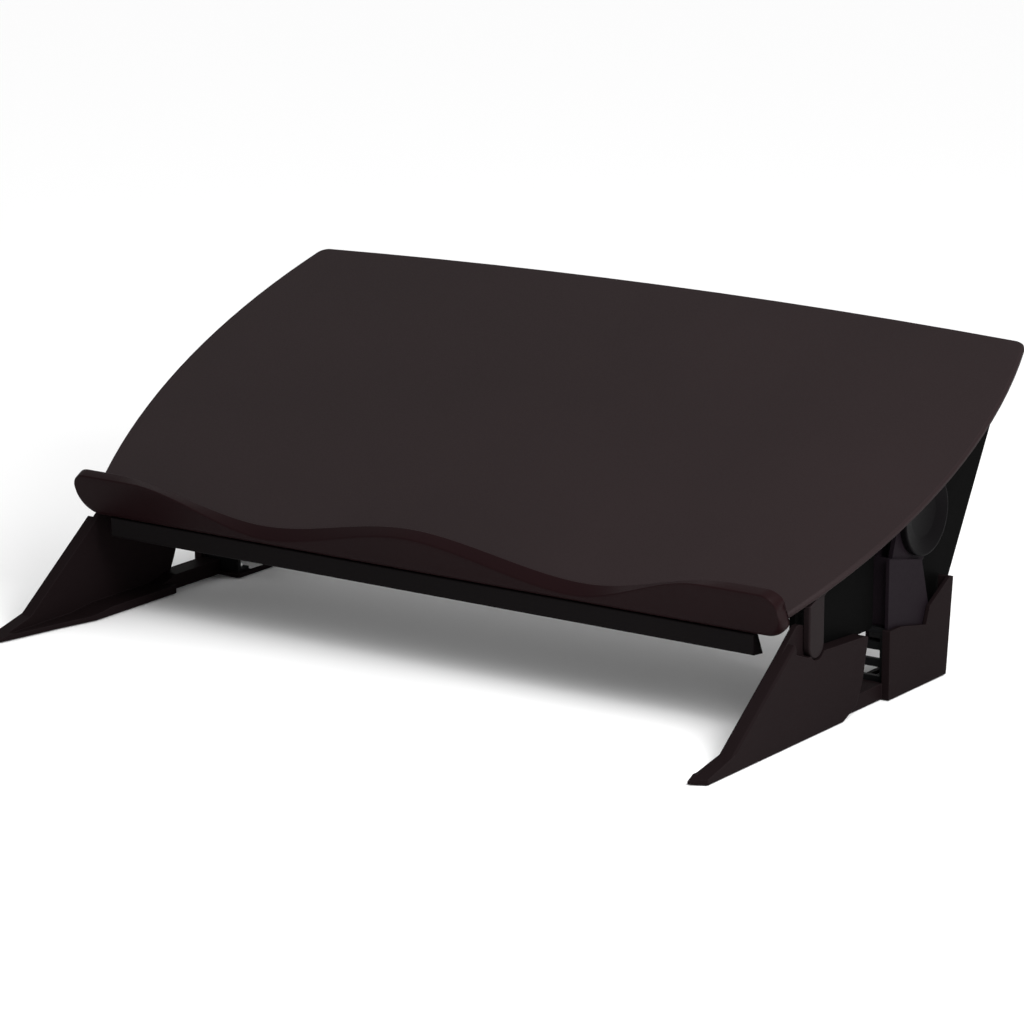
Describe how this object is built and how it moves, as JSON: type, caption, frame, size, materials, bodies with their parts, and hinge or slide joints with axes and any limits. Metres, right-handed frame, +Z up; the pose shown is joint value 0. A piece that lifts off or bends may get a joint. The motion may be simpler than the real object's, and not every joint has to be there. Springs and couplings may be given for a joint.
{
  "type": "document holder with drawer",
  "caption": "Sloping desk document holder with a wavy page ledge, a shallow pull-out drawer under the board and two legs with latched height adjustment.",
  "frame": {"origin": "centre of the footprint box, on the desk surface", "axes": "+X to the user's right along the page ledge, +Y away from the user, +Z up"},
  "size_m": [0.558, 0.3547, 0.1908],
  "materials": {
    "board_panel": "satin moulded dark brown-black",
    "ledge": "satin moulded, warm brown-black",
    "drawer_front": "satin moulded black",
    "drawer_plastic": "fine-textured black",
    "side_plate": "fine-textured black",
    "leg_plastic": "satin moulded black",
    "rubber_pad": "soft rubber",
    "screw_steel": "zinc-plated",
    "ladder_plastic": "moulded black",
    "arm_plastic": "satin moulded black",
    "cap_plastic": "smooth moulded",
    "pin_steel": "turned steel",
    "spring_steel": "spring strip",
    "latch_plastic": "moulded black"
  },
  "bodies": {
    "board": {"reading_board": "board_panel", "page_ledge": "ledge", "ledge_screws": "screw_steel", "bracket_left": "side_plate", "bracket_right": "side_plate", "bracket_screws": "screw_steel", "drawer_runner_left": "drawer_plastic", "drawer_runner_right": "drawer_plastic", "runner_screws": "screw_steel", "drawer_stop": "drawer_plastic", "stop_screws": "screw_steel", "pivot_pin_left": "pin_steel", "pivot_pin_right": "pin_steel", "pivot_ear_left": "cap_plastic", "pivot_ear_right": "cap_plastic"},
    "drawer": {"drawer_tray": "drawer_plastic", "drawer_front": "drawer_front", "drawer_front_screws": "screw_steel"},
    "leg_left": {"leg_left": "leg_plastic", "foot_pads_left": "rubber_pad", "ladder_left": "ladder_plastic", "ladder_screws_left": "screw_steel"},
    "arm_left": {"lift_arm_left": "arm_plastic", "hub_cap_left": "cap_plastic", "hub_pin_left": "pin_steel", "latch_spring_left": "spring_steel"},
    "latch_left": {"latch_left": "latch_plastic"},
    "leg_right": {"leg_right": "leg_plastic", "foot_pads_right": "rubber_pad", "ladder_right": "ladder_plastic", "ladder_screws_right": "screw_steel"},
    "arm_right": {"lift_arm_right": "arm_plastic", "hub_cap_right": "cap_plastic", "hub_pin_right": "pin_steel", "latch_spring_right": "spring_steel"},
    "latch_right": {"latch_right": "latch_plastic"}
  },
  "joints": [
    {"name": "tilt_right", "type": "hinge", "parent": "board", "child": "leg_right", "pos_m": [0.249, -0.05881, 0.053], "axis": [1, 0, 0], "range_deg": [0, 11.3]},
    {"name": "tilt_left", "type": "hinge", "parent": "board", "child": "leg_left", "pos_m": [-0.249, -0.05881, 0.053], "axis": [1, 0, 0], "range_deg": [0, 11.3]},
    {"name": "arm_swing_right", "type": "hinge", "parent": "board", "child": "arm_right", "pos_m": [0.2445, 0.06419, 0.103], "axis": [1, 0, 0], "range_deg": [0, 5]},
    {"name": "arm_swing_left", "type": "hinge", "parent": "board", "child": "arm_left", "pos_m": [-0.2445, 0.06419, 0.103], "axis": [1, 0, 0], "range_deg": [0, 5]},
    {"name": "latch_slide_left", "type": "slide", "parent": "arm_left", "child": "latch_left", "axis": [0, -1, 0], "range_m": [0, 0.0046], "deforming": ["latch_spring_left"]},
    {"name": "latch_slide_right", "type": "slide", "parent": "arm_right", "child": "latch_right", "axis": [0, -1, 0], "range_m": [0, 0.0046], "deforming": ["latch_spring_right"]},
    {"name": "drawer_slide", "type": "slide", "parent": "board", "child": "drawer", "axis": [0, -0.9114, -0.4115], "range_m": [0, 0.1]}
  ],
  "couplings": [
    {"joint": "tilt_left", "follows": "tilt_right", "ratio": 1},
    {"joint": "arm_swing_right", "follows": "tilt_right", "ratio": 0.4336},
    {"joint": "arm_swing_left", "follows": "tilt_right", "ratio": 0.4336}
  ]
}
